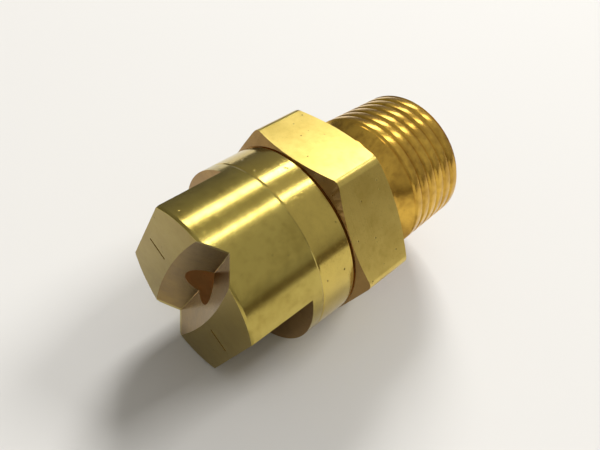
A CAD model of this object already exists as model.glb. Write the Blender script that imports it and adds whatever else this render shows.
"""Two-piece brass flat-fan burner nozzle, lying on one flat of its hexagon.

Every piece is modelled in millimetres in the nozzle's own frame, with the axis along Y at
the height of half the hexagon, and is scaled to metres when it is finished. Places and
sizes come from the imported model, so each piece lies where its CAD node lies.
"""

import logging
import math
from dataclasses import dataclass
from enum import Enum
from typing import Callable, Iterable, Optional, Sequence, Union

import bmesh
import bpy
from mathutils import Matrix, Vector


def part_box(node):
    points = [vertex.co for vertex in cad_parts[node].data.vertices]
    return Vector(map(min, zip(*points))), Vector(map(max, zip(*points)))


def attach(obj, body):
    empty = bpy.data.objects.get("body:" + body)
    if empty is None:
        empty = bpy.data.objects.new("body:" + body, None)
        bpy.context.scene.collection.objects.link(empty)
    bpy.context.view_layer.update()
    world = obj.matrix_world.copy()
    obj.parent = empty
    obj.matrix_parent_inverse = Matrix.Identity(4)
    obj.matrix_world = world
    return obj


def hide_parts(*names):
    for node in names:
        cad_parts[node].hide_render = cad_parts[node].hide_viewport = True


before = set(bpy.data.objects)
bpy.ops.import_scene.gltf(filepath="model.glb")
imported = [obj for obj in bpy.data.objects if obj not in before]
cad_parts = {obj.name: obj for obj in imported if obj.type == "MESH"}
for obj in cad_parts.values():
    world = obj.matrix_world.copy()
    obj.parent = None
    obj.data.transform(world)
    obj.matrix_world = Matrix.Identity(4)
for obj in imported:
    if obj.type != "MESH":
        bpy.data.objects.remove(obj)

LOG = logging.getLogger("nozzle")
MM = 0.001
FINE = 192  # facets round the outside shapes
MEDIUM = 96  # facets round the inside ones
RIM_FACETS = 900  # facets round the slot's large cutter
SHARP_ANGLE = math.radians(32)
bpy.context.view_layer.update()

Number = Union[int, float]
Colour = tuple[float, float, float]


# ------------------------------------------------------------------ sizes from the frame
@dataclass(frozen=True)
class Span:
    """Box of one CAD node in millimetres.

    Args:
        low: Lowest corner.
        high: Highest corner.
    """

    low: Vector
    high: Vector

    @classmethod
    def of(cls, node: str) -> "Span":
        """The box of a named CAD node."""
        low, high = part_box(node)
        return cls(low / MM, high / MM)

    @property
    def front(self) -> float:
        """Station nearest the spray."""
        return self.low.y

    @property
    def rear(self) -> float:
        """Station nearest the inlet."""
        return self.high.y

    @property
    def radius(self) -> float:
        """Half of the width across X."""
        return (self.high.x - self.low.x) / 2


BODY = Span.of("nozzle_body")
TIP = Span.of("spray_tip")
GASKET = Span.of("tip_gasket")
AXIS_HEIGHT = (BODY.low.z + BODY.high.z) / 2
ABOUT_AXIS = Vector((0, 0, AXIS_HEIGHT))


# ------------------------------------------------------------------ solids
class Join(Enum):
    """How two solids are combined."""

    ADD = "UNION"
    CUT = "DIFFERENCE"
    KEEP = "INTERSECT"


@dataclass(frozen=True)
class Corner:
    """One corner of an outline that is spun about the nozzle's axis.

    Args:
        radius: Distance from the axis.
        station: Place along the axis.
        round: Radius of the fillet at the corner.
    """

    radius: float
    station: float
    round: float = 0.0


def rounded(corners: Sequence[Corner], closed: bool, steps: int = 4) -> list[Vector]:
    """Turns corners into outline points, with an arc at each rounded corner.

    Args:
        corners: The outline's corners in order.
        closed: Whether the last corner joins the first.
        steps: Edges in each arc.

    Returns:
        Points with the radius along X and the station along Y.
    """
    places = [Vector((c.radius, c.station, 0)) for c in corners]
    count = len(places)
    points: list[Vector] = []
    for index, corner in enumerate(corners):
        here = places[index]
        at_end = not closed and index in (0, count - 1)
        if corner.round <= 0 or at_end:
            points.append(here)
            continue
        to_last = (places[index - 1] - here).normalized()
        to_next = (places[(index + 1) % count] - here).normalized()
        half = to_last.angle(to_next) / 2
        middle = here + (to_last + to_next).normalized() * corner.round / math.sin(half)
        first = here + to_last * corner.round / math.tan(half) - middle
        last = here + to_next * corner.round / math.tan(half) - middle
        arc = (first.slerp(last, step / steps) for step in range(steps + 1))
        points += [middle + spoke.normalized() * corner.round for spoke in arc]
    return points


class Solid:
    """A closed mesh in millimetres, about an axis along Y through the origin."""

    def __init__(self, shape: bmesh.types.BMesh) -> None:
        """Takes over a bmesh, with its doubles merged and its faces turned outwards.

        Args:
            shape: A closed surface, which is freed.
        """
        bmesh.ops.remove_doubles(shape, verts=shape.verts, dist=1e-5)
        bmesh.ops.recalc_face_normals(shape, faces=shape.faces)
        if shape.calc_volume(signed=True) < 0:
            bmesh.ops.reverse_faces(shape, faces=shape.faces)
        self.mesh = bpy.data.meshes.new("work")
        shape.to_mesh(self.mesh)
        shape.free()

    @classmethod
    def spun(cls, corners: Sequence[Corner], steps: int = FINE, closed: bool = False) -> "Solid":
        """Spins an outline about the axis.

        Args:
            corners: Outline corners, from axis to axis, or all round when closed.
            steps: Facets round the axis.
            closed: Whether the outline is a loop clear of the axis.

        Returns:
            The turned solid.
        """
        shape = bmesh.new()
        points = [shape.verts.new(point) for point in rounded(corners, closed)]
        pairs = list(zip(points, points[1:])) + ([(points[-1], points[0])] if closed else [])
        edges = [shape.edges.new(pair) for pair in pairs]
        bmesh.ops.spin(
            shape, geom=points + edges, cent=(0, 0, 0), axis=(0, 1, 0),
            angle=2 * math.pi, steps=steps, use_merge=True,
        )
        return cls(shape)

    @classmethod
    def ball(cls, radius: float, station: float) -> "Solid":
        """A ball on the axis, with its poles along it.

        Args:
            radius: Radius of the ball.
            station: Place of its centre.

        Returns:
            The ball.
        """
        shape = bmesh.new()
        place = (
            Matrix.Translation((0, station, 0))
            @ Matrix.Scale(radius, 4)
            @ Matrix.Rotation(math.pi / 2, 4, "X")
        )
        bmesh.ops.create_uvsphere(
            shape, u_segments=MEDIUM, v_segments=MEDIUM // 2, radius=1.0, matrix=place
        )
        return cls(shape)

    @classmethod
    def block(cls, size: Sequence[float], centre: Sequence[float], turn: float = 0.0) -> "Solid":
        """A cuboid, turned about the axis.

        Args:
            size: Edge lengths along X, Y and Z before the turn.
            centre: Centre before the turn.
            turn: Angle about +Y.

        Returns:
            The block.
        """
        shape = bmesh.new()
        place = (
            Matrix.Rotation(turn, 4, "Y")
            @ Matrix.Translation(Vector(centre))
            @ Matrix.Diagonal((*size, 1.0))
        )
        bmesh.ops.create_cube(shape, size=1.0, matrix=place)
        return cls(shape)

    def combined(self, other: "Solid", how: Join) -> "Solid":
        """Joins, cuts or keeps what is common with another solid.

        Args:
            other: The other solid, which is used up.
            how: What is done with it.

        Returns:
            The same solid.
        """
        base = bpy.data.objects.new("base", self.mesh)
        tool = bpy.data.objects.new("tool", other.mesh)
        for item in (base, tool):
            bpy.context.scene.collection.objects.link(item)
        step = base.modifiers.new("combine", "BOOLEAN")
        step.operation = how.value
        step.solver = "MANIFOLD"
        step.object = tool
        self.mesh = evaluated_mesh(base)
        for item in (base, tool):
            old = item.data
            bpy.data.objects.remove(item)
            bpy.data.meshes.remove(old)
        return self

    def add(self, other: "Solid") -> "Solid":
        """Joins another solid to this one."""
        return self.combined(other, Join.ADD)

    def cut(self, other: "Solid") -> "Solid":
        """Cuts another solid out of this one."""
        return self.combined(other, Join.CUT)

    def keep(self, other: "Solid") -> "Solid":
        """Keeps only what lies inside another solid too."""
        return self.combined(other, Join.KEEP)

    def moved(self, matrix: Matrix) -> "Solid":
        """Moves the solid by a matrix."""
        self.mesh.transform(matrix)
        return self

    def eased(self, width: float, above: float, segments: int = 2) -> "Solid":
        """Breaks the sharp edges.

        Args:
            width: Width of the break in millimetres.
            above: Least angle in degrees between the faces of a broken edge.
            segments: Faces across each break.

        Returns:
            The same solid.
        """
        item = bpy.data.objects.new("edges", self.mesh)
        bpy.context.scene.collection.objects.link(item)
        step = item.modifiers.new("ease", "BEVEL")
        step.width = width
        step.segments = segments
        step.limit_method = "ANGLE"
        step.angle_limit = math.radians(above)
        step.use_clamp_overlap = True
        mesh = evaluated_mesh(item)
        bpy.data.objects.remove(item)
        bpy.data.meshes.remove(self.mesh)
        self.mesh = mesh
        return self


def evaluated_mesh(item: bpy.types.Object) -> bpy.types.Mesh:
    """The mesh of an object with its modifiers applied.

    Args:
        item: The object, linked to the scene.

    Returns:
        A new mesh.
    """
    graph = bpy.context.evaluated_depsgraph_get()
    graph.update()
    return bpy.data.meshes.new_from_object(item.evaluated_get(graph))


@dataclass(frozen=True)
class Thread:
    """A right-hand screw thread with rounded crests and roots.

    Args:
        crest: Radius over the crests at the start.
        depth: From crest to root.
        pitch: Travel of one turn.
        start: Station of the first turn.
        end: Station where the thread is cut off.
        crest_width: Share of the pitch that is flat at the crests.
        taper: Gain of radius per millimetre along +Y.
        steps: Facets in one turn.
        least_root: Least share of the pitch that is flat at the roots.
        crest_ease: Fillet at the crests, as a share of the pitch.
        root_ease: Fillet at the roots, as a share of their flat.
    """

    crest: float
    depth: float
    pitch: float
    start: float
    end: float
    crest_width: float = 0.125
    taper: float = 0.0
    steps: int = 96
    least_root: float = 0.04
    crest_ease: float = 0.05
    root_ease: float = 0.2

    def profile(self) -> list[Vector]:
        """Outline of one pitch, from the middle of one root to the next.

        Returns:
            Points with the radius along X and the station along Y.
        """
        root = self.crest - self.depth
        crest = self.crest_width * self.pitch
        flank = self.depth * math.tan(math.pi / 6)
        bottom = max(self.pitch - crest - 2 * flank, self.least_root * self.pitch)
        middle = self.pitch / 2
        at_crest = self.crest_ease * self.pitch
        at_root = self.root_ease * bottom
        corners = [
            Corner(root, 0),
            Corner(root, bottom / 2, at_root),
            Corner(self.crest, middle - crest / 2, at_crest),
            Corner(self.crest, middle + crest / 2, at_crest),
            Corner(root, self.pitch - bottom / 2, at_root),
            Corner(root, self.pitch),
        ]
        return rounded(corners, False, 2)

    def solid(self) -> Solid:
        """Spins the profile along the helix, repeats the turn and cuts both ends square.

        Returns:
            The thread with its core.
        """
        shape = bmesh.new()
        first = Vector((0, self.start - 1.5 * self.pitch, 0))
        points = [shape.verts.new(point + first) for point in self.profile()]
        edges = [shape.edges.new(pair) for pair in zip(points, points[1:])]
        bmesh.ops.spin(
            shape, geom=points + edges, cent=(0, 0, 0), axis=(0, 1, 0),
            dvec=(0, self.pitch / self.steps, 0), angle=2 * math.pi, steps=self.steps,
        )
        loose = [edge for edge in shape.edges if not edge.link_faces]
        bmesh.ops.delete(shape, geom=loose, context="EDGES")
        one_turn = shape.verts[:] + shape.edges[:] + shape.faces[:]
        for turn in range(1, math.ceil((self.end - self.start) / self.pitch) + 3):
            copied = bmesh.ops.duplicate(shape, geom=one_turn)["geom"]
            verts = [item for item in copied if isinstance(item, bmesh.types.BMVert)]
            bmesh.ops.translate(shape, verts=verts, vec=(0, turn * self.pitch, 0))
        bmesh.ops.remove_doubles(shape, verts=shape.verts, dist=1e-4)
        for vert in shape.verts:
            radius = math.hypot(vert.co.x, vert.co.z)
            scale = 1 + self.taper * (vert.co.y - self.start) / radius
            vert.co.x *= scale
            vert.co.z *= scale
        for station, outwards in ((self.start, -1), (self.end, 1)):
            everything = shape.verts[:] + shape.edges[:] + shape.faces[:]
            bmesh.ops.bisect_plane(
                shape, geom=everything, plane_co=(0, station, 0), plane_no=(0, outwards, 0),
                clear_outer=True,
            )
        rim = [edge for edge in shape.edges if edge.is_boundary]
        bmesh.ops.holes_fill(shape, edges=rim, sides=0)
        return Solid(shape)


# ------------------------------------------------------------------ shader maths
class Value:
    """A shader socket that takes part in Python expressions."""

    def __init__(self, shader: "Shader", socket: bpy.types.NodeSocket) -> None:
        """Wraps a socket of a shader's node."""
        self.shader = shader
        self.socket = socket

    def _math(self, operation: str, *operands: Union["Value", Number]) -> "Value":
        """Adds one Math node."""
        inputs = dict(enumerate(operands))
        return self.shader.node("ShaderNodeMath", {"operation": operation}, inputs)

    def __add__(self, other: Union["Value", Number]) -> "Value":
        """Sum."""
        return self._math("ADD", self, other)

    __radd__ = __add__

    def __sub__(self, other: Union["Value", Number]) -> "Value":
        """Difference."""
        return self._math("SUBTRACT", self, other)

    def __rsub__(self, other: Union["Value", Number]) -> "Value":
        """Reflected difference."""
        return self._math("SUBTRACT", other, self)

    def __mul__(self, other: Union["Value", Number]) -> "Value":
        """Product."""
        return self._math("MULTIPLY", self, other)

    __rmul__ = __mul__

    def ramped(self, low: Number, high: Number) -> "Value":
        """Smooth step from 0 at low to 1 at high."""
        inputs = {"Value": self, "From Min": low, "From Max": high}
        return self.shader.node(
            "ShaderNodeMapRange", {"interpolation_type": "SMOOTHSTEP"}, inputs
        )


class Shader:
    """Maker of nodes in one tree, with places in millimetres about the nozzle's axis."""

    def __init__(self, tree: bpy.types.NodeTree) -> None:
        """Works in an existing tree."""
        self.tree = tree

    @classmethod
    def of_material(cls, name: str) -> "Shader":
        """A shader in a new material with a Principled surface.

        Args:
            name: Name of the material.

        Returns:
            The shader, with its material and surface.
        """
        material = bpy.data.materials.new(name)
        material.use_nodes = True
        shader = cls(material.node_tree)
        shader.material = material
        shader.surface = material.node_tree.nodes["Principled BSDF"]
        return shader

    def node(
        self,
        kind: str,
        settings: Optional[dict[str, object]] = None,
        inputs: Optional[dict[Union[str, int], object]] = None,
        output: Union[str, int] = 0,
    ) -> Value:
        """Adds one node.

        Args:
            kind: Blender's name for the node type.
            settings: Properties that are set before the sockets.
            inputs: Values or links of the sockets.
            output: The socket that is returned.

        Returns:
            The wanted output.
        """
        made = self.tree.nodes.new(kind)
        for key, value in (settings or {}).items():
            setattr(made, key, value)
        for key, value in (inputs or {}).items():
            if isinstance(value, Value):
                self.tree.links.new(value.socket, made.inputs[key])
            else:
                made.inputs[key].default_value = value
        return Value(self, made.outputs[output])

    def put(self, name: str, value: object) -> None:
        """Sets or links one socket of the surface.

        Args:
            name: Name of the socket.
            value: A link, or what it is everywhere.
        """
        if isinstance(value, Value):
            self.tree.links.new(value.socket, self.surface.inputs[name])
        else:
            self.surface.inputs[name].default_value = value

    def position(self, turn: float = 0.0) -> Value:
        """Place on the piece in millimetres from the nozzle's axis.

        Args:
            turn: Angle that the pattern is turned by about the axis.

        Returns:
            The place as a vector.
        """
        place = self.node("ShaderNodeTexCoord", output="Object")
        moved = self.node(
            "ShaderNodeVectorMath", {"operation": "SUBTRACT"}, {0: place, 1: ABOUT_AXIS * MM}
        )
        turned = self.node(
            "ShaderNodeVectorRotate", {"rotation_type": "Y_AXIS"}, {"Vector": moved, "Angle": turn}
        )
        inputs = {0: turned, "Scale": 1 / MM}
        return self.node("ShaderNodeVectorMath", {"operation": "SCALE"}, inputs)

    def part(self, vector: Value, axis: str) -> Value:
        """One component of a vector."""
        return self.node("ShaderNodeSeparateXYZ", None, {0: vector}, axis)

    def vector(self, x: object, y: object, z: object) -> Value:
        """A vector from three values."""
        return self.node("ShaderNodeCombineXYZ", None, {0: x, 1: y, 2: z})

    def stretched(self, vector: Value, scale: Sequence[float]) -> Value:
        """A vector with each component scaled."""
        inputs = {0: vector, 1: tuple(scale)}
        return self.node("ShaderNodeVectorMath", {"operation": "MULTIPLY"}, inputs)

    def noise(self, vector: Value, scale: float, detail: float = 2.0, rough: float = 0.5) -> Value:
        """Noise from 0 to 1, with the scale in patches per unit of the vector."""
        inputs = {"Vector": vector, "Scale": scale, "Detail": detail, "Roughness": rough}
        return self.node("ShaderNodeTexNoise", None, inputs)

    def cells(self, vector: Value, scale: float) -> Value:
        """Distance to the nearest of scattered points."""
        return self.node("ShaderNodeTexVoronoi", None, {"Vector": vector, "Scale": scale})

    def blend(self, share: object, low: object, high: object) -> Value:
        """Mix of two colours.

        Args:
            share: Part of the second colour, 0 to 1.
            low: First colour, as a link or three numbers.
            high: Second colour.

        Returns:
            The mixed colour.
        """
        paints = [(*paint, 1.0) if isinstance(paint, tuple) else paint for paint in (low, high)]
        inputs = {0: share, 6: paints[0], 7: paints[1]}
        return self.node("ShaderNodeMix", {"data_type": "RGBA"}, inputs, 2)


class Grain(Enum):
    """Which way the tool marks of a finish run."""

    ROUND = "round the axis on a side"
    FACING = "round the axis on an end face"
    SLOT = "along the fan slot"
    LENGTH = "along the axis"


@dataclass(frozen=True)
class MetalFinish:
    """A machined metal surface.

    Args:
        name: Name of the material.
        bright: Clean colour.
        dull: Colour of the tarnish.
        roughness: Middle roughness.
        grain: Way of the tool marks.
        pitch: Marks per millimetre.
        grain_height: Depth of the marks in millimetres.
        tarnish: Share of the surface that the tarnish colours, 0 to 1.
        pits: Share of the pit marks that shows, 0 to 1.
        mottle: Change of roughness over the surface.
        drift: Change of the marks per millimetre across the axis, where they run round it.
        along: Change of the marks per millimetre of their length, where they run straight.
        pit_depth: Depth of a pit in millimetres.
        speck_depth: Depth of a speck in millimetres.
        glow: Light that stands in for what bounces about inside a small hole.
    """

    name: str
    bright: Colour
    dull: Colour
    roughness: float
    grain: Grain
    pitch: float = 7.0
    grain_height: float = 0.002
    tarnish: float = 0.5
    pits: float = 0.5
    mottle: float = 0.08
    drift: float = 0.05
    along: float = 0.18
    pit_depth: float = 0.03
    speck_depth: float = 0.006
    glow: float = 0.0

    def marks(self, shader: Shader) -> Value:
        """Pattern of the tool marks.

        Args:
            shader: Shader of the material.

        Returns:
            Height of the marks, 0 to 1.
        """
        if self.grain is Grain.SLOT:
            turned = shader.position(TipShell.turn)
            place = shader.stretched(turned, (self.pitch, self.pitch, self.along))
        elif self.grain is Grain.FACING:
            flat = shader.stretched(shader.position(), (1, 0, 1))
            reach = shader.node("ShaderNodeVectorMath", {"operation": "LENGTH"}, {0: flat}, "Value")
            across = (shader.part(flat, axis) * self.along for axis in "XZ")
            place = shader.vector(reach * self.pitch, *across)
        elif self.grain is Grain.LENGTH:
            place = shader.stretched(shader.position(), (self.pitch, self.along, self.pitch))
        else:
            place = shader.stretched(shader.position(), (self.drift, self.pitch, self.drift))
        fine = shader.noise(place, 1.0, detail=3.0, rough=0.6)
        coarse = shader.noise(place, 0.23, detail=1.0)
        return fine * 0.65 + coarse * 0.35

    def stain(self, shader: Shader, place: Value, clouds: Value) -> Value:
        """Share of tarnish: patches about 3 mm across, with small clouds over them.

        Args:
            shader: Shader of the material.
            place: Place in millimetres.
            clouds: Noise a little under a millimetre across.

        Returns:
            The share, 0 to 1.
        """
        patches = shader.noise(place, 0.32, detail=4.0, rough=0.6).ramped(0.36, 0.66)
        return (patches * 0.7 + clouds.ramped(0.45, 0.75) * 0.3) * self.tarnish

    def material(self) -> bpy.types.Material:
        """Builds the material.

        Returns:
            The new material.
        """
        shader = Shader.of_material(self.name)
        place = shader.position()
        marks = self.marks(shader)
        clouds = shader.noise(place, 1.3, detail=3.0, rough=0.55)
        pitted = shader.noise(place, 0.7, detail=1.0).ramped(0.47, 0.58) * self.pits
        pits = (1 - shader.cells(place, 1.1).ramped(0.05, 0.15)) * pitted
        specks = (1 - shader.cells(place, 3.4).ramped(0.10, 0.26)) * (self.pits * 0.5)
        colour = shader.blend(self.stain(shader, place, clouds), self.bright, self.dull)
        deep = tuple(0.25 * part for part in self.dull)
        colour = shader.blend(pits * 0.8 + specks * 0.35, colour, deep)
        rough = self.roughness + (clouds + marks - 1.0) * self.mottle
        height = marks * self.grain_height - pits * self.pit_depth - specks * self.speck_depth
        bump = {"Strength": 1.0, "Distance": MM, "Height": height}
        shader.put("Base Color", colour)
        shader.put("Metallic", 1.0)
        shader.put("Roughness", rough + pits * 0.2)
        shader.put("Normal", shader.node("ShaderNodeBump", None, bump))
        if self.glow > 0:
            shader.put("Emission Color", colour)
            shader.put("Emission Strength", self.glow)
        return shader.material


BRIGHT_BRASS: Colour = (0.62, 0.47, 0.115)
DULL_BRASS: Colour = (0.46, 0.34, 0.085)
WORN_BRASS: Colour = (0.52, 0.41, 0.105)
GREY_BRASS: Colour = (0.34, 0.25, 0.052)
TAN_BRASS: Colour = (0.27, 0.185, 0.034)
BROWN_BRASS: Colour = (0.20, 0.115, 0.04)
GOLD_BRASS: Colour = (0.76, 0.47, 0.08)

HEX_GROUND = MetalFinish(
    "ground_hexagon_brass", (0.68, 0.52, 0.14), (0.52, 0.37, 0.08), 0.30, Grain.ROUND,
    pitch=5.0, grain_height=0.010, tarnish=0.7, pits=1.0, drift=0.18,
)
TURNED_ENDS = MetalFinish(
    "turned_end_brass", (0.36, 0.22, 0.075), BROWN_BRASS, 0.24, Grain.FACING, pits=0.3,
)
TURNED_SIDE = MetalFinish(
    "turned_side_brass", WORN_BRASS, TAN_BRASS, 0.18, Grain.ROUND, pitch=6.0,
    grain_height=0.005, pits=0.4,
)
POLISHED_BAND = MetalFinish(
    "polished_band_brass", BRIGHT_BRASS, DULL_BRASS, 0.15, Grain.ROUND, pitch=9.0,
    grain_height=0.003, pits=1.0,
)
MILLED_FACE = MetalFinish(
    "faced_land_brass", GREY_BRASS, TAN_BRASS, 0.34, Grain.SLOT, pitch=5.0,
    grain_height=0.005, pits=0.6,
)
SLOT_WALL = MetalFinish(
    "milled_slot_brass", (0.30, 0.18, 0.022), (0.15, 0.08, 0.012), 0.22, Grain.SLOT, pitch=6.0,
    grain_height=0.006, pits=0.3,
)
THREAD_BRASS = MetalFinish(
    "cut_thread_brass", GOLD_BRASS, (0.30, 0.15, 0.025), 0.23, Grain.ROUND,
    pitch=8.0, grain_height=0.003, tarnish=0.7, pits=0.2,
)
BORE_BRASS = MetalFinish(
    "bored_brass", (0.95, 0.60, 0.25), (0.80, 0.45, 0.16), 0.42, Grain.ROUND, pits=0.2,
)
PASSAGE_BRASS = MetalFinish(
    "bored_passage_brass", (0.80, 0.47, 0.17), (0.45, 0.22, 0.06), 0.36, Grain.ROUND, pits=0.2,
    glow=0.04,
)
SHEET_BRASS = MetalFinish(
    "rolled_sheet_brass", BRIGHT_BRASS, DULL_BRASS, 0.32, Grain.LENGTH, pits=0.3,
)
COPPER = MetalFinish(
    "annealed_copper", (0.78, 0.36, 0.22), (0.34, 0.14, 0.08), 0.38, Grain.FACING, pits=0.3,
)
STEEL_WIRE = MetalFinish(
    "drawn_steel_wire", (0.60, 0.60, 0.58), (0.36, 0.35, 0.33), 0.28, Grain.LENGTH, pits=0.0,
)


# ------------------------------------------------------------------ finished pieces
Zone = Callable[[Vector, Vector], MetalFinish]


@dataclass
class Piece:
    """What a finished piece is called and belongs to.

    Args:
        name: Name of the piece.
        body: CAD body that it rides on.
        slot: Material slot of the record.
        stands_for: CAD nodes that it replaces.
        finishes: Every finish that it wears.
        zone: Picks the finish of a face from its centre and normal, where there are several.
    """

    name: str
    body: str
    slot: str
    stands_for: Sequence[str]
    finishes: Sequence[MetalFinish]
    zone: Optional[Zone] = None

    def finish(self, solid: Solid) -> bpy.types.Object:
        """Dresses a solid, scales it to metres and adds it to the nozzle.

        Args:
            solid: The shape in millimetres, which is used up.

        Returns:
            The piece.
        """
        mesh = solid.mesh
        mesh.name = self.name
        mesh.materials.clear()
        for finish in self.finishes:
            mesh.materials.append(made_material(finish))
        for face in mesh.polygons:
            chosen = self.zone(face.center, face.normal) if self.zone else self.finishes[0]
            face.material_index = self.finishes.index(chosen)
            face.use_smooth = True
        mesh.transform(Matrix.Scale(MM, 4) @ Matrix.Translation(ABOUT_AXIS))
        mesh.set_sharp_from_angle(angle=SHARP_ANGLE)
        item = bpy.data.objects.new(self.name, mesh)
        bpy.context.scene.collection.objects.link(item)
        shading = item.modifiers.new("weighted", "WEIGHTED_NORMAL")
        shading.keep_sharp = True
        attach(item, self.body)
        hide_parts(*self.stands_for)
        LOG.info("%s: %d faces on %s", self.name, len(mesh.polygons), self.body)
        return item


def made_material(finish: MetalFinish) -> bpy.types.Material:
    """The material of a finish, made once."""
    return bpy.data.materials.get(finish.name) or finish.material()


def seen_from_axis(centre: Vector, normal: Vector) -> tuple[float, float]:
    """How a face lies about the nozzle's axis.

    Args:
        centre: Middle of the face.
        normal: Its normal.

    Returns:
        Distance from the axis, and how much the face looks away from it, 1 to -1.
    """
    radius = math.hypot(centre.x, centre.z)
    return radius, (centre.x * normal.x + centre.z * normal.z) / max(radius, 1e-6)


# ------------------------------------------------------------------ body
@dataclass
class NozzleBody:
    """Hexagon with the tapered pipe thread behind it and the socket for the tip in front.

    Lengths are in millimetres here and in the classes of the other pieces.
    """

    hex_length: float = 7.25
    chamfer: float = math.radians(25)
    edge_round: float = 0.6
    neck_radius: float = 7.35
    neck_length: float = 3.3
    pipe_pitch: float = 25.4 / 18
    pipe_end_radius: float = 8.33
    pipe_taper: float = 1 / 32
    pipe_depth: float = 0.24  # as a share of the pitch
    pipe_crest: float = 0.6  # flat crest, as a share of the pitch
    end_chamfer: float = 0.7
    bore_radius: float = 5.6
    socket_radius: float = 7.05
    socket_depth: float = 8.6
    socket_thread_depth: float = 0.35
    socket_pitch: float = 1.0
    gasket_seat_radius: float = 9.25
    inlet_seat_radius: float = 6.3
    inlet_seat_depth: float = 1.5

    @property
    def hex_rear(self) -> float:
        """Station of the hexagon's rear face."""
        return BODY.front + self.hex_length

    @property
    def thread_start(self) -> float:
        """Station where the pipe thread starts."""
        return self.hex_rear + self.neck_length

    def hexagon(self) -> Solid:
        """Hexagon bar with eased edges and both ends turned to a chamfer."""
        half = (BODY.high.z - BODY.low.z) / 2
        corner = half / math.cos(math.pi / 6)
        middle = (BODY.front + self.hex_rear) / 2
        shape = bmesh.new()
        upright = Matrix.Rotation(math.radians(90), 4, "X")
        place = Matrix.Translation((0, middle, 0)) @ Matrix.Rotation(math.pi / 6, 4, "Y") @ upright
        bmesh.ops.create_cone(
            shape, cap_ends=True, segments=6, radius1=corner, radius2=corner,
            depth=self.hex_length, matrix=place,
        )
        long_edges = [e for e in shape.edges if abs((e.verts[0].co - e.verts[1].co).y) > 1]
        bmesh.ops.bevel(
            shape, geom=long_edges, offset=self.edge_round, offset_type="OFFSET", segments=4,
            profile=0.5, affect="EDGES", material=-1,
        )
        reach = corner + 1
        drop = (reach - half) * math.tan(self.chamfer)
        face = half - 0.1
        fillet = 0.3
        ends = [
            Corner(0, BODY.front),
            Corner(face, BODY.front, fillet),
            Corner(reach, BODY.front + drop),
            Corner(reach, self.hex_rear - drop),
            Corner(face, self.hex_rear, fillet),
            Corner(0, self.hex_rear),
        ]
        return Solid(shape).keep(Solid.spun(ends)).eased(0.12, 18, 3)

    def shank(self) -> Solid:
        """Neck and tapered pipe thread, with a rounded chamfer at the inlet."""
        overlap = 1.5
        length = BODY.rear - self.thread_start
        thread = Thread(
            crest=self.pipe_end_radius + self.pipe_taper * length,
            depth=self.pipe_depth * self.pipe_pitch,
            pitch=self.pipe_pitch,
            start=self.thread_start - 0.4,
            end=BODY.rear,
            crest_width=self.pipe_crest,
            taper=-self.pipe_taper,
            steps=FINE,
        )
        clear = 3.0
        run_out_slope = 1.2
        wide = self.pipe_end_radius + clear
        chamfer = BODY.rear - self.end_chamfer
        neck_end = self.thread_start + 0.6
        envelope = [
            Corner(0, self.thread_start - 1),
            Corner(self.neck_radius, self.thread_start - 1),
            Corner(self.neck_radius, self.thread_start - 0.1),
            Corner(wide, self.thread_start + run_out_slope * (wide - self.neck_radius)),
            Corner(wide, chamfer - clear / 2),
            Corner(self.pipe_end_radius, chamfer, 0.9),
            Corner(self.pipe_end_radius - self.end_chamfer, BODY.rear, 0.12),
            Corner(0, BODY.rear),
        ]
        neck = [
            Corner(0, self.hex_rear - overlap),
            Corner(self.neck_radius, self.hex_rear - overlap),
            Corner(self.neck_radius, neck_end),
            Corner(0, neck_end),
        ]
        return thread.solid().keep(Solid.spun(envelope)).add(Solid.spun(neck))

    def hollow(self) -> Solid:
        """Socket, bore and inlet seat in one tool, with eased mouths."""
        beyond = 2.0
        fillet = 0.1
        lead_in = 0.4
        mouth = 0.2
        socket_end = BODY.front + self.socket_depth
        seat = GASKET.rear + 0.1
        inlet_seat = BODY.rear - self.inlet_seat_depth
        return Solid.spun([
            Corner(0, BODY.front - beyond),
            Corner(self.gasket_seat_radius, BODY.front - beyond),
            Corner(self.gasket_seat_radius, seat, fillet),
            Corner(self.socket_radius + lead_in, seat),
            Corner(self.socket_radius, seat + lead_in),
            Corner(self.socket_radius, socket_end),
            Corner(self.bore_radius, socket_end),
            Corner(self.bore_radius, inlet_seat, fillet),
            Corner(self.inlet_seat_radius, inlet_seat, fillet),
            Corner(self.inlet_seat_radius, BODY.rear - mouth),
            Corner(self.inlet_seat_radius + mouth, BODY.rear),
            Corner(self.inlet_seat_radius + mouth, BODY.rear + beyond),
            Corner(0, BODY.rear + beyond),
        ], MEDIUM)

    def tap(self) -> Solid:
        """The thread that is cut into the socket's wall."""
        crest = self.socket_radius + self.socket_thread_depth
        return Thread(
            crest=crest, depth=self.socket_thread_depth + 0.1, pitch=self.socket_pitch,
            start=GASKET.rear - 0.4, end=BODY.front + self.socket_depth - 1.2, steps=64,
        ).solid()

    def zone(self, centre: Vector, normal: Vector) -> MetalFinish:
        """Picks between ground flats, turned ends, outside thread and bores.

        Args:
            centre: Middle of a face.
            normal: Its normal.

        Returns:
            The finish of the face.
        """
        radius, outwards = seen_from_axis(centre, normal)
        inside = radius < self.socket_radius + 0.6 and outwards < 0.1
        if inside and centre.y < BODY.rear - 0.05:
            return BORE_BRASS
        if centre.y > self.hex_rear + 0.01:
            return THREAD_BRASS
        on_ends = abs(normal.y) > 0.3
        return TURNED_ENDS if on_ends else HEX_GROUND

    def build(self) -> bpy.types.Object:
        """Builds the body."""
        solid = self.hexagon().add(self.shank()).cut(self.hollow()).cut(self.tap())
        finishes = [HEX_GROUND, TURNED_ENDS, THREAD_BRASS, BORE_BRASS]
        piece = Piece("body_shell", "body", "body_brass", ["nozzle_body"], finishes, self.zone)
        return piece.finish(solid)


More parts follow.
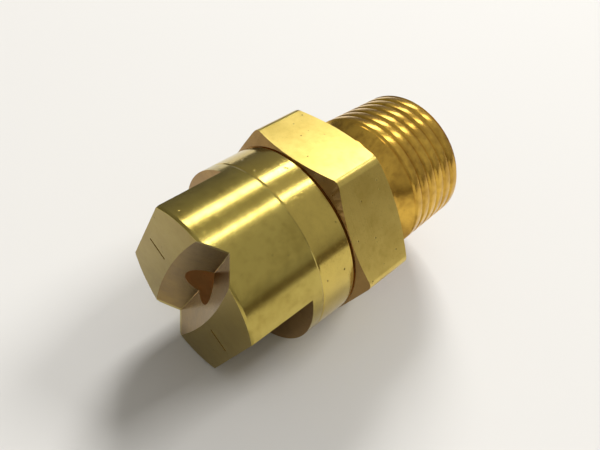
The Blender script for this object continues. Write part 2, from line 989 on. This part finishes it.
# ------------------------------------------------------------------ tip
@dataclass
class TipShell:
    """Screwed-on tip with two wrench flats, the fan slot and the cat-eye orifice."""

    turn = math.pi / 3  # of the slot and the flats about the axis

    length: float = 13.3
    rim: float = 0.22
    line_from_seam: float = 4.2
    skirt: float = 0.22
    skirt_radius: float = 9.2
    line_width: float = 0.3
    line_depth: float = 0.06
    across_flats: float = 15.4
    shoulder_from_seam: float = 5.7
    slot_depth: float = 2.36
    slot_half_width: float = 3.3
    cutter_radius: float = 82.0
    passage_radius: float = 3.7
    dome_rise: float = 1.85
    dome_shift: float = 0.25
    bore_radius: float = 5.1
    bore_end: float = 2.6
    passage_start: float = 7.2
    spigot_crest: float = 6.9
    spigot_depth: float = 0.5
    spigot_pitch: float = 1.0
    score_length: float = 2.6
    score_width: float = 0.36

    @property
    def seam(self) -> float:
        """Station of the tip's rear face."""
        return TIP.front + self.length

    @property
    def line(self) -> float:
        """Station of the turned line."""
        return self.seam - self.line_from_seam

    def blank(self) -> Solid:
        """The turned bar with its spigot."""
        radius = TIP.radius
        rim_fillet = 0.08
        line_fillet = 0.02
        root = self.spigot_crest - self.spigot_depth
        bar = Solid.spun([
            Corner(0, TIP.front),
            Corner(radius - self.rim, TIP.front, rim_fillet),
            Corner(radius, TIP.front + self.rim, rim_fillet),
            Corner(radius, self.line - self.line_width / 2, line_fillet),
            Corner(radius - self.line_depth, self.line, line_fillet),
            Corner(radius, self.line + self.line_width / 2, line_fillet),
            Corner(radius, self.seam + self.skirt, 0.14),
            Corner(self.skirt_radius, self.seam + self.skirt),
            Corner(self.skirt_radius, self.seam),
            Corner(root, self.seam, 0.1),
            Corner(root, TIP.rear, 0.2),
            Corner(0, TIP.rear),
        ])
        thread = Thread(
            crest=self.spigot_crest, depth=self.spigot_depth + 0.05, pitch=self.spigot_pitch,
            start=self.seam + 1.4, end=TIP.rear - 0.3,
        ).solid()
        ends = [
            Corner(0, self.seam + 1.2),
            Corner(root - 0.2, self.seam + 1.2),
            Corner(self.spigot_crest + 1, self.seam + 3),
            Corner(self.spigot_crest + 1, TIP.rear - 1.8),
            Corner(root - 0.2, TIP.rear - 0.2),
            Corner(0, TIP.rear - 0.2),
        ]
        return bar.add(thread.keep(Solid.spun(ends, MEDIUM)))

    def flat_tools(self) -> Iterable[Solid]:
        """The two blocks that mill the wrench flats."""
        depth = TIP.radius
        length = self.length - self.shoulder_from_seam
        for side in (1, -1):
            yield Solid.block(
                (4 * depth, length + 2, depth),
                (0, TIP.front - 1 + length / 2, side * (self.across_flats / 2 + depth / 2)),
                -self.turn,
            )

    def slot_tool(self) -> Solid:
        """The disc cutter with a V rim."""
        reach = 4.0
        thickness = reach * self.slot_half_width / self.slot_depth
        disc = Solid.spun([
            Corner(0, -thickness),
            Corner(self.cutter_radius - reach, -thickness),
            Corner(self.cutter_radius, 0, 0.08),
            Corner(self.cutter_radius - reach, thickness),
            Corner(0, thickness),
        ], RIM_FACETS)
        middle = TIP.front + self.slot_depth - self.cutter_radius
        return disc.moved(
            Matrix.Translation((0, middle, 0))
            @ Matrix.Rotation(-self.turn, 4, "Y")
            @ Matrix.Rotation(math.pi / 2, 4, "X")
        )

    def hollow(self) -> Solid:
        """Bore, cone, passage and domed end."""
        fillet = 0.6
        mouth = 0.3
        middle = TIP.front + self.slot_depth - self.dome_rise + self.passage_radius
        passage = Solid.spun([
            Corner(0, middle),
            Corner(self.passage_radius, middle),
            Corner(self.passage_radius, self.seam - self.passage_start, fillet),
            Corner(self.bore_radius, self.seam - self.bore_end, fillet),
            Corner(self.bore_radius, TIP.rear - mouth),
            Corner(self.bore_radius + mouth, TIP.rear),
            Corner(self.bore_radius + mouth, TIP.rear + 1),
            Corner(0, TIP.rear + 1),
        ], MEDIUM)
        dome = Solid.ball(self.passage_radius, middle)
        shift = Matrix.Rotation(-self.turn, 4, "Y") @ Vector((self.dome_shift, 0, 0))
        return passage.add(dome.moved(Matrix.Translation(shift)))

    def score(self, side: int) -> Solid:
        """A plain scored mark on one land, square to the slot.

        Args:
            side: 1 or -1, for the two lands.

        Returns:
            The scriber's tip.
        """
        out = 0.5 * (self.slot_half_width + self.across_flats / 2)
        edge = self.score_width * 0.71  # so that its corner cuts a groove of that width
        size = (edge, edge, self.score_length)
        shape = Solid.block(size, (0, 0, 0)).moved(Matrix.Rotation(math.pi / 4, 4, "Z"))
        place = Matrix.Translation((0.3 * side, TIP.front + 0.04, side * out))
        return shape.moved(Matrix.Rotation(-self.turn, 4, "Y") @ place)

    def zone(self, centre: Vector, normal: Vector) -> MetalFinish:
        """Picks between side, rear band, lands, slot, flats, hollow, spigot and shoulders.

        Args:
            centre: Middle of a face.
            normal: Its normal.

        Returns:
            The finish of the face.
        """
        radius, outwards = seen_from_axis(centre, normal)
        slot_end = TIP.front + self.slot_depth
        faces_spray = -0.97
        if centre.y > self.seam + 0.05:
            inside = outwards < -0.3 and radius < self.bore_radius + 0.4
            return PASSAGE_BRASS if inside else THREAD_BRASS
        if normal.y < faces_spray and centre.y < TIP.front + 0.3:
            return MILLED_FACE
        in_slot = centre.y < slot_end + 0.1 and faces_spray < normal.y < -0.4
        if in_slot and radius < TIP.radius - self.rim - 0.02:
            return SLOT_WALL
        if radius < self.bore_radius + 0.1 and outwards < 0.3:
            return PASSAGE_BRASS
        if normal.y < -0.6 and centre.y > slot_end:
            return TURNED_ENDS
        if radius < TIP.radius - 0.3:
            return MILLED_FACE
        return POLISHED_BAND if centre.y > self.line else TURNED_SIDE

    def build(self) -> bpy.types.Object:
        """Builds the tip."""
        solid = self.blank()
        for tool in self.flat_tools():
            solid.cut(tool)
        solid.cut(self.hollow()).cut(self.slot_tool())
        solid.eased(0.07, 24, 2)
        for side in (1, -1):
            solid.cut(self.score(side))
        finishes = [
            TURNED_SIDE, POLISHED_BAND, MILLED_FACE, SLOT_WALL,
            PASSAGE_BRASS, THREAD_BRASS, TURNED_ENDS,
        ]
        piece = Piece("tip_shell", "tip", "tip_brass", ["spray_tip"], finishes, self.zone)
        return piece.finish(solid)


# ------------------------------------------------------------------ inside pieces
def ring(outer: float, inner: float, span: Span, ease: float) -> Solid:
    """A plain ring with rounded corners between a node's stations.

    Args:
        outer: Outer radius.
        inner: Inner radius.
        span: Box of the node.
        ease: Fillet at the corners.

    Returns:
        The ring.
    """
    corners = [
        Corner(inner, span.front, ease),
        Corner(outer, span.front, ease),
        Corner(outer, span.rear, ease),
        Corner(inner, span.rear, ease),
    ]
    return Solid.spun(corners, MEDIUM, closed=True)


@dataclass
class GasketRing:
    """Soft copper washer in the joint."""

    inner: float = 7.3

    def build(self) -> bpy.types.Object:
        """Builds the washer."""
        solid = ring(GASKET.radius, self.inner, GASKET, 0.18)
        nodes = ["tip_gasket"]
        return Piece("gasket_ring", "gasket", "gasket_copper", nodes, [COPPER]).finish(solid)


@dataclass
class GuideVane:
    """Two crossed plates that straighten the flow in the tip."""

    slot_width: float = 0.9
    ease: float = 0.12

    def plate(self, node: str, name: str, slot_at_rear: bool) -> bpy.types.Object:
        """One plate with its half-length slot.

        Args:
            node: CAD node that it stands for.
            name: Name of the piece.
            slot_at_rear: Which half the slot takes.

        Returns:
            The plate.
        """
        span = Span.of(node)
        size = span.high - span.low
        middle = (span.front + span.rear) / 2
        across = size.x > size.z
        solid = Solid.block(size, (0, middle, 0)).eased(self.ease, 30, 2)
        half = size.y / 2
        shift = half / 2 + 0.5
        slot = (self.slot_width, half + 1.1, 2) if across else (2, half + 1.1, self.slot_width)
        solid.cut(Solid.block(slot, (0, middle + (shift if slot_at_rear else -shift), 0)))
        return Piece(name, "tip", "sheet_brass", [node], [SHEET_BRASS]).finish(solid)

    def build(self) -> None:
        """Builds both plates."""
        self.plate("guide_vane_front_plate", "vane_plate_level", True)
        self.plate("guide_vane_rear_plate", "vane_plate_upright", False)


@dataclass
class InletStrainer:
    """Slip-in strainer: slotted head, windowed cage, woven mesh and end cap."""

    hole_radius: float = 3.6
    neck_radius: float = 5.45
    flange_length: float = 1.3
    driver_slot: float = 1.2
    driver_depth: float = 0.7
    cage_wall: float = 0.6
    windows: int = 6
    window_width: float = 3.2
    end_band: float = 0.9
    wire_radius: float = 0.09
    long_wires: int = 44
    round_wires: int = 15

    def finished(
        self, name: str, node: str, slot: str, finish: MetalFinish, solid: Solid
    ) -> bpy.types.Object:
        """Finishes one part of the strainer.

        Args:
            name: Name of the piece.
            node: CAD node that it stands for.
            slot: Material slot of the record.
            finish: Its finish.
            solid: Its shape.

        Returns:
            The piece.
        """
        return Piece(name, "strainer", slot, [node], [finish]).finish(solid)

    def head(self) -> bpy.types.Object:
        """Flange and neck with a slot for a driver."""
        span = Span.of("strainer_head")
        shoulder = span.rear - self.flange_length
        solid = Solid.spun([
            Corner(self.hole_radius, span.rear, 0.25),
            Corner(span.radius, span.rear, 0.15),
            Corner(span.radius, shoulder, 0.1),
            Corner(self.neck_radius, shoulder, 0.1),
            Corner(self.neck_radius, span.front, 0.2),
            Corner(self.hole_radius, span.front, 0.1),
        ], MEDIUM, closed=True)
        size = (4 * span.radius, 2 * self.driver_depth, self.driver_slot)
        solid.cut(Solid.block(size, (0, span.rear, 0))).eased(0.05, 40, 1)
        name = "strainer_head_ring"
        return self.finished(name, "strainer_head", "body_brass", THREAD_BRASS, solid)

    def cage(self) -> bpy.types.Object:
        """Tube with a row of round-ended windows."""
        span = Span.of("strainer_cage")
        solid = ring(span.radius, span.radius - self.cage_wall, span, 0.08)
        length = span.rear - span.front - 2 * self.end_band
        middle = (span.front + span.rear) / 2
        for pair in range(self.windows // 2):
            size = (self.window_width, length, 4 * span.radius)
            solid.cut(Solid.block(size, (0, middle, 0), pair * 2 * math.pi / self.windows))
        solid.eased(0.06, 50, 2)
        name = "strainer_cage_tube"
        return self.finished(name, "strainer_cage", "sheet_brass", SHEET_BRASS, solid)

    def mesh(self) -> bpy.types.Object:
        """Woven wires, long ones over rings."""
        span = Span.of("strainer_mesh")
        shape = bmesh.new()
        inner = span.radius - 3 * self.wire_radius
        outer = span.radius - self.wire_radius
        length = span.rear - span.front
        for index in range(self.long_wires):
            angle = 2 * math.pi * index / self.long_wires
            place = (
                Matrix.Rotation(angle, 4, "Y")
                @ Matrix.Translation((outer, (span.front + span.rear) / 2, 0))
                @ Matrix.Rotation(math.pi / 2, 4, "X")
            )
            bmesh.ops.create_cone(
                shape, cap_ends=True, segments=8, radius1=self.wire_radius,
                radius2=self.wire_radius, depth=length, matrix=place,
            )
        for index in range(self.round_wires):
            station = span.front + self.wire_radius
            station += (length - 2 * self.wire_radius) * index / (self.round_wires - 1)
            place = Matrix.Translation((inner, station, 0))
            made = bmesh.ops.create_circle(
                shape, segments=8, radius=self.wire_radius, matrix=place
            )
            edges = {edge for vert in made["verts"] for edge in vert.link_edges}
            bmesh.ops.spin(
                shape, geom=made["verts"] + list(edges), cent=(0, 0, 0), axis=(0, 1, 0),
                angle=2 * math.pi, steps=MEDIUM, use_merge=True,
            )
        name = "strainer_woven_mesh"
        return self.finished(name, "strainer_mesh", "mesh_steel", STEEL_WIRE, Solid(shape))

    def cap(self) -> bpy.types.Object:
        """Pressed cap with a shallow dish."""
        span = Span.of("strainer_cap")
        solid = Solid.spun([
            Corner(0, span.rear),
            Corner(span.radius, span.rear, 0.1),
            Corner(span.radius, span.front, 0.4),
            Corner(span.radius * 0.65, span.front, 0.3),
            Corner(span.radius * 0.5, span.front + 0.35, 0.3),
            Corner(0, span.front + 0.35),
        ], MEDIUM)
        name = "strainer_end_cap"
        return self.finished(name, "strainer_cap", "sheet_brass", SHEET_BRASS, solid)

    def build(self) -> None:
        """Builds the four parts of the strainer."""
        self.head()
        self.cage()
        self.mesh()
        self.cap()


# ------------------------------------------------------------------ setting
@dataclass(frozen=True)
class Strip:
    """A long soft lamp that runs along the nozzle.

    Args:
        name: Name of the lamp.
        centre: Middle of the lamp in metres.
        size: Width and length in metres.
        power: Watts.
    """

    name: str
    centre: tuple[float, float, float]
    size: tuple[float, float]
    power: float

    def build(self, aim: Vector, glossy: bool = True) -> None:
        """Hangs the lamp facing a point, with its length along the nozzle's axis.

        Args:
            aim: The point that it faces.
            glossy: Whether metal mirrors it.
        """
        data = bpy.data.lights.new(self.name, "AREA")
        data.shape = "RECTANGLE"
        data.size, data.size_y = self.size
        data.energy = self.power
        item = bpy.data.objects.new(self.name, data)
        back = (Vector(self.centre) - aim).normalized()
        along = (Vector((0, 1, 0)) - back * back.y).normalized()
        turn = Matrix((along.cross(back), along, back)).transposed().to_4x4()
        item.matrix_world = Matrix.Translation(self.centre) @ turn
        item.visible_glossy = glossy
        item.visible_diffuse = not glossy
        bpy.context.scene.collection.objects.link(item)


@dataclass
class Studio:
    """Pale floor, room light, lamps and camera, with places in metres."""

    floor_size: float = 4.0
    floor_paint: Colour = (0.64, 0.625, 0.60)
    horizon: Colour = (0.27, 0.26, 0.24)
    overhead: Colour = (0.48, 0.47, 0.44)
    left_shade: float = 0.5
    flag_centre: tuple[float, float, float] = (0.30, 0.10, 0.012)
    flag_size: tuple[float, float] = (0.10, 1.2)
    flag_paint: Colour = (0.10, 0.075, 0.05)
    strips: Sequence[Strip] = (
        Strip("left_strip", (-0.97, 0.92, 1.50), (0.29, 1.8), 13.0),
        Strip("middle_strip", (0.0, 0.92, 1.76), (0.15, 1.8), 7.0),
    )
    fills: Sequence[Strip] = (
        Strip("left_fill", (-0.95, 1.3, 1.0), (0.6, 0.6), 41.0),
        Strip("right_fill", (0.5, 1.1, 1.1), (0.6, 0.6), 17.0),
    )
    eye: tuple[float, float, float] = (0.03395, -0.03732, 0.05713)
    view: tuple[float, float, float] = (-0.4980, 0.5218, -0.6926)
    up: tuple[float, float, float] = (-0.5182, 0.4613, 0.7202)
    lens: float = 35.79
    sensor: float = 36.0
    nearest: float = 0.001

    def card(
        self, name: str, paint_name: str, paint: Colour, roughness: float, place: Matrix
    ) -> bpy.types.Object:
        """A flat card that isn't part of the nozzle.

        Args:
            name: Name of the card.
            paint_name: Name of its material.
            paint: Its colour.
            roughness: Its roughness.
            place: Place, turn and size of a card one metre square.

        Returns:
            The card.
        """
        shape = bmesh.new()
        bmesh.ops.create_grid(shape, x_segments=1, y_segments=1, size=0.5, matrix=place)
        mesh = bpy.data.meshes.new(name)
        shape.to_mesh(mesh)
        shape.free()
        shader = Shader.of_material(paint_name)
        shader.put("Base Color", (*paint, 1.0))
        shader.put("Roughness", roughness)
        mesh.materials.append(shader.material)
        item = bpy.data.objects.new(name, mesh)
        bpy.context.scene.collection.objects.link(item)
        return item

    def floor(self) -> None:
        """Plain pale floor under the nozzle."""
        self.card("floor", "pale_floor", self.floor_paint, 0.7, Matrix.Scale(self.floor_size, 4))

    def flag(self) -> None:
        """A dark card at the right, that only the metal sees."""
        upright = Matrix.Translation(self.flag_centre) @ Matrix.Rotation(math.pi / 2, 4, "Y")
        place = upright @ Matrix.Diagonal((*self.flag_size, 1.0, 1.0))
        item = self.card("flag", "dark_card", self.flag_paint, 0.9, place)
        item.visible_camera = False
        item.visible_diffuse = False
        item.visible_shadow = False

    def room(self) -> None:
        """Room light: dim at the horizon and on the left, brighter overhead."""
        world = bpy.data.worlds.new("room")
        world.use_nodes = True
        shader = Shader(world.node_tree)
        way = shader.node("ShaderNodeTexCoord", output="Generated")
        height = shader.part(way, "Z").ramped(0.0, 0.45)
        side = shader.part(way, "X").ramped(-0.95, 0.1)
        shade = side * (1 - self.left_shade) + self.left_shade
        light = shader.blend(height, self.horizon, self.overhead)
        background = world.node_tree.nodes["Background"]
        world.node_tree.links.new(light.socket, background.inputs["Color"])
        world.node_tree.links.new(shade.socket, background.inputs["Strength"])
        bpy.context.scene.world = world

    def lights(self) -> None:
        """Lamps that show as streaks in the metal, and soft ones for the floor alone."""
        aim = Vector((0, 0, 0.01))
        for strip in self.strips:
            strip.build(aim)
        for fill in self.fills:
            fill.build(aim, glossy=False)

    def camera(self) -> None:
        """Camera close to the nozzle, looking down along it."""
        data = bpy.data.cameras.new("camera")
        data.lens = self.lens
        data.sensor_width = self.sensor
        data.clip_start = self.nearest
        item = bpy.data.objects.new("camera", data)
        back = -Vector(self.view).normalized()
        right = Vector(self.up).cross(back).normalized()
        above = back.cross(right)
        turn = Matrix((right, above, back)).transposed().to_4x4()
        item.matrix_world = Matrix.Translation(self.eye) @ turn
        bpy.context.scene.collection.objects.link(item)
        bpy.context.scene.camera = item

    def build(self) -> None:
        """Builds the setting."""
        bpy.context.scene.view_settings.view_transform = "Standard"
        self.camera()
        self.floor()
        self.flag()
        self.room()
        self.lights()


def main() -> None:
    """Builds the setting and every piece in order."""
    logging.basicConfig(level=logging.INFO, format="%(name)s: %(message)s")
    Studio().build()
    NozzleBody().build()
    TipShell().build()
    GasketRing().build()
    GuideVane().build()
    InletStrainer().build()


if __name__ == "__main__":
    main()
